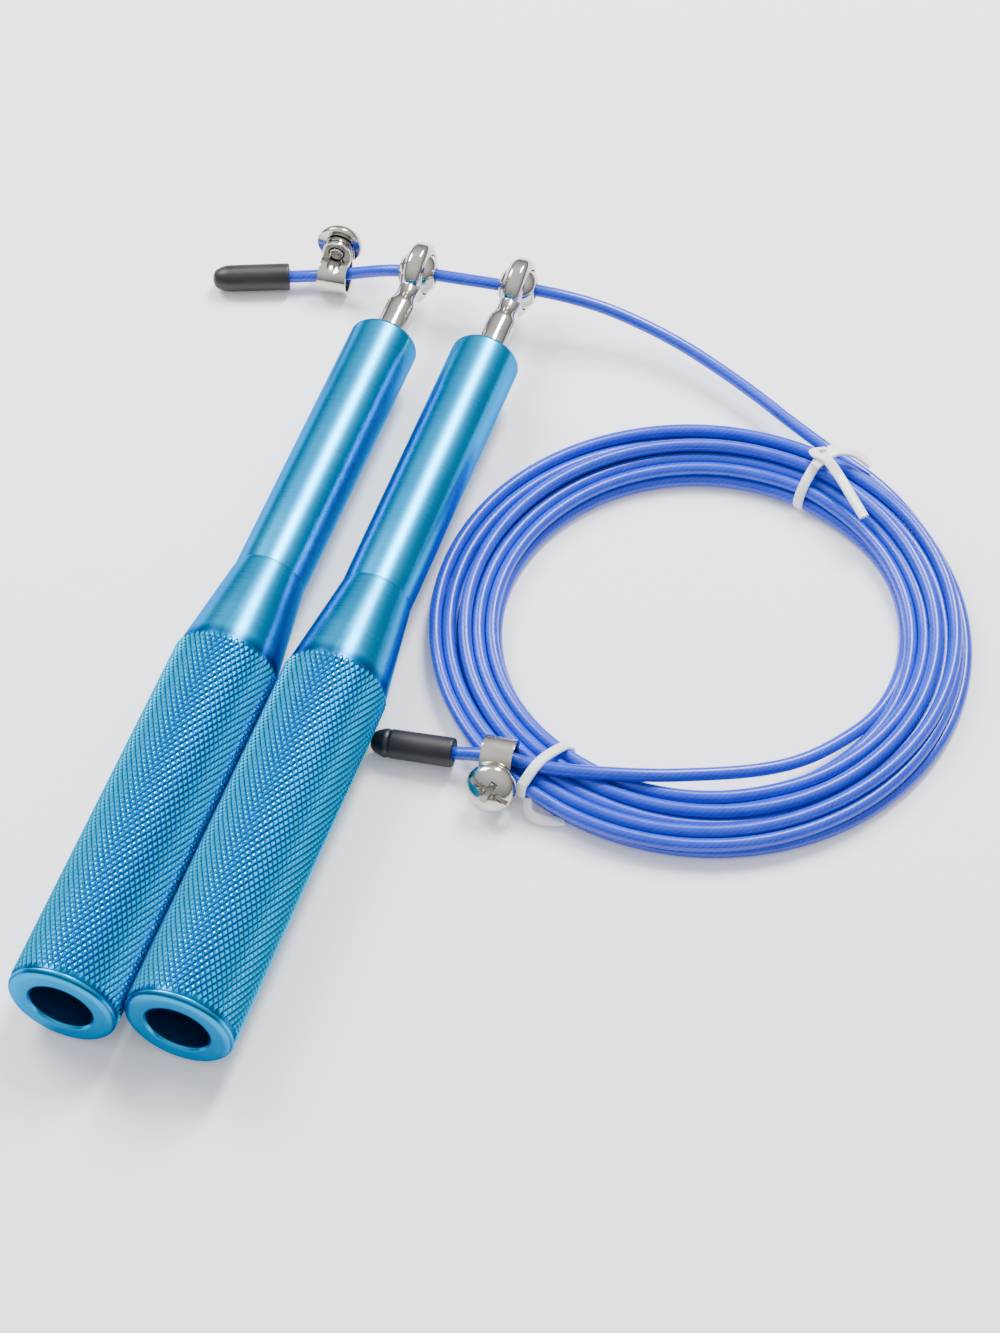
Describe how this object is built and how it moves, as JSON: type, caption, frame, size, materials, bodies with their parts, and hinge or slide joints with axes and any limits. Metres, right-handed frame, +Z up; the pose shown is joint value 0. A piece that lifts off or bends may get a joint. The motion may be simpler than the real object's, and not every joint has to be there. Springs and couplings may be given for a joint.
{
  "type": "jump rope",
  "caption": "Speed jump rope with knurled blue aluminium handles, rod-end swivels on ball bearings and a coated steel rope coiled and tied for storage.",
  "frame": {"origin": "on the surface that the handles lie on, under the middle of the box round both handles with their rod ends", "axes": "+Y along the handles from the open tails to the rod ends, +X from the left handle to the right handle and the coil, +Z up"},
  "size_m": [0.1706, 0.1904, 0.02],
  "materials": {
    "anodised_blue": "anodised, satin on the neck and diamond knurled on the grip",
    "nickel": "bright nickel plate",
    "zinc_steel": "zinc plated",
    "bearing_steel": "ground",
    "cage_brass": "stamped",
    "rope_sheath": "translucent blue sheath over stranded steel",
    "black_vinyl": "satin dipped vinyl",
    "white_sheath": "white sheath over wire"
  },
  "bodies": {
    "rope": {"rope_end_a": "rope_sheath", "rope_end_b": "rope_sheath", "rope_coil": "rope_sheath", "end_cap_a": "black_vinyl", "end_cap_b": "black_vinyl", "clamp_strap_a": "nickel", "clamp_strap_b": "nickel", "twist_tie_a": "white_sheath", "twist_tie_b": "white_sheath"},
    "clamp_a_screw": {"clamp_screw_a": "nickel"},
    "clamp_b_screw": {"clamp_screw_b": "nickel"},
    "left_ball": {"swivel_ball_left": "nickel"},
    "left_rod": {"rod_end_left": "nickel", "front_bearing_inner_race_left": "bearing_steel", "rear_bearing_inner_race_left": "bearing_steel", "bearing_spacer_left": "zinc_steel", "retaining_washer_left": "zinc_steel", "retaining_screw_left": "zinc_steel"},
    "left_handle": {"handle_left": "anodised_blue", "front_bearing_outer_race_left": "bearing_steel", "rear_bearing_outer_race_left": "bearing_steel"},
    "left_front_cage": {"front_bearing_ball_cage_left": "cage_brass"},
    "left_rear_cage": {"rear_bearing_ball_cage_left": "cage_brass"},
    "right_ball": {"swivel_ball_right": "nickel"},
    "right_rod": {"rod_end_right": "nickel", "front_bearing_inner_race_right": "bearing_steel", "rear_bearing_inner_race_right": "bearing_steel", "bearing_spacer_right": "zinc_steel", "retaining_washer_right": "zinc_steel", "retaining_screw_right": "zinc_steel"},
    "right_handle": {"handle_right": "anodised_blue", "front_bearing_outer_race_right": "bearing_steel", "rear_bearing_outer_race_right": "bearing_steel"},
    "right_front_cage": {"front_bearing_ball_cage_right": "cage_brass"},
    "right_rear_cage": {"rear_bearing_ball_cage_right": "cage_brass"}
  },
  "joints": [
    {"name": "clamp_a_screw_turn", "type": "hinge", "parent": "rope", "child": "clamp_a_screw", "pos_m": [-0.028, 0.0861, 0.0084], "axis": [-0.0995, 0.995, 0], "continuous": true},
    {"name": "clamp_b_screw_turn", "type": "hinge", "parent": "rope", "child": "clamp_b_screw", "pos_m": [0.04309, -0.02216, 0.00307], "axis": [0.0369, -0.8188, 0.5729], "continuous": true},
    {"name": "left_handle_lift", "type": "hinge", "parent": "rope", "child": "left_ball", "pos_m": [-0.01015, 0.08685, 0.01], "axis": [-0.9936, -0.1126, 0], "range_deg": [0, 180]},
    {"name": "left_handle_swing", "type": "hinge", "parent": "left_ball", "child": "left_rod", "pos_m": [-0.01015, 0.08685, 0.01], "axis": [0, 0, -1], "range_deg": [0, 20]},
    {"name": "left_handle_spin", "type": "hinge", "parent": "left_rod", "child": "left_handle", "pos_m": [-0.01015, 0.08685, 0.01], "axis": [0, 1, 0], "continuous": true},
    {"name": "left_front_cage_turn", "type": "hinge", "parent": "left_rod", "child": "left_front_cage", "pos_m": [-0.01015, 0.08685, 0.01], "axis": [0, 1, 0], "continuous": true},
    {"name": "left_rear_cage_turn", "type": "hinge", "parent": "left_rod", "child": "left_rear_cage", "pos_m": [-0.01015, 0.08685, 0.01], "axis": [0, 1, 0], "continuous": true},
    {"name": "right_ball_turn", "type": "hinge", "parent": "rope", "child": "right_ball", "pos_m": [0.01015, 0.08915, 0.01], "axis": [0.9936, 0.1126, 0], "continuous": true},
    {"name": "right_handle_lift", "type": "hinge", "parent": "rope", "child": "right_rod", "pos_m": [0.01015, 0.08915, 0.01], "axis": [-0.9936, -0.1126, 0], "range_deg": [0, 180]},
    {"name": "right_handle_spin", "type": "hinge", "parent": "right_rod", "child": "right_handle", "pos_m": [0.01015, 0.08915, 0.01], "axis": [0, 1, 0], "continuous": true},
    {"name": "right_front_cage_turn", "type": "hinge", "parent": "right_rod", "child": "right_front_cage", "pos_m": [0.01015, 0.08915, 0.01], "axis": [0, 1, 0], "continuous": true},
    {"name": "right_rear_cage_turn", "type": "hinge", "parent": "right_rod", "child": "right_rear_cage", "pos_m": [0.01015, 0.08915, 0.01], "axis": [0, 1, 0], "continuous": true}
  ],
  "couplings": [
    {"joint": "left_front_cage_turn", "follows": "left_handle_spin", "ratio": 0.6267},
    {"joint": "left_rear_cage_turn", "follows": "left_handle_spin", "ratio": 0.6267},
    {"joint": "right_front_cage_turn", "follows": "right_handle_spin", "ratio": 0.6267},
    {"joint": "right_rear_cage_turn", "follows": "right_handle_spin", "ratio": 0.6267}
  ]
}
